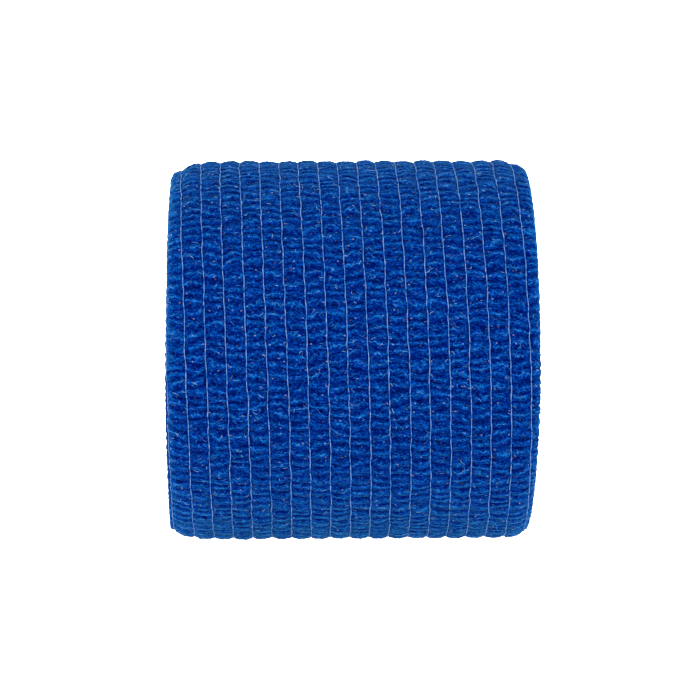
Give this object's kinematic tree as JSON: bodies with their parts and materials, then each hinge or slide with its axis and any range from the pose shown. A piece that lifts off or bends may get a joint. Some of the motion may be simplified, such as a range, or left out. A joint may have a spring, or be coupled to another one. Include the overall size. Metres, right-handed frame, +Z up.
{
  "type": "cohesive bandage roll",
  "caption": "Coreless roll of crinkled blue self-sticking elastic bandage, ribbed by lengthwise threads, lying on its side.",
  "frame": {"origin": "middle of the flat spot that the roll rests on, under the middle of its width", "axes": "+Z up, +X along the roll's axis, -Y the front that the picture shows"},
  "size_m": [0.0502, 0.0535, 0.0524],
  "materials": {
    "crinkled_cloth": "crinkled nonwoven, matt"
  },
  "bodies": {
    "root": {"roll": "crinkled_cloth"}
  },
  "joints": []
}
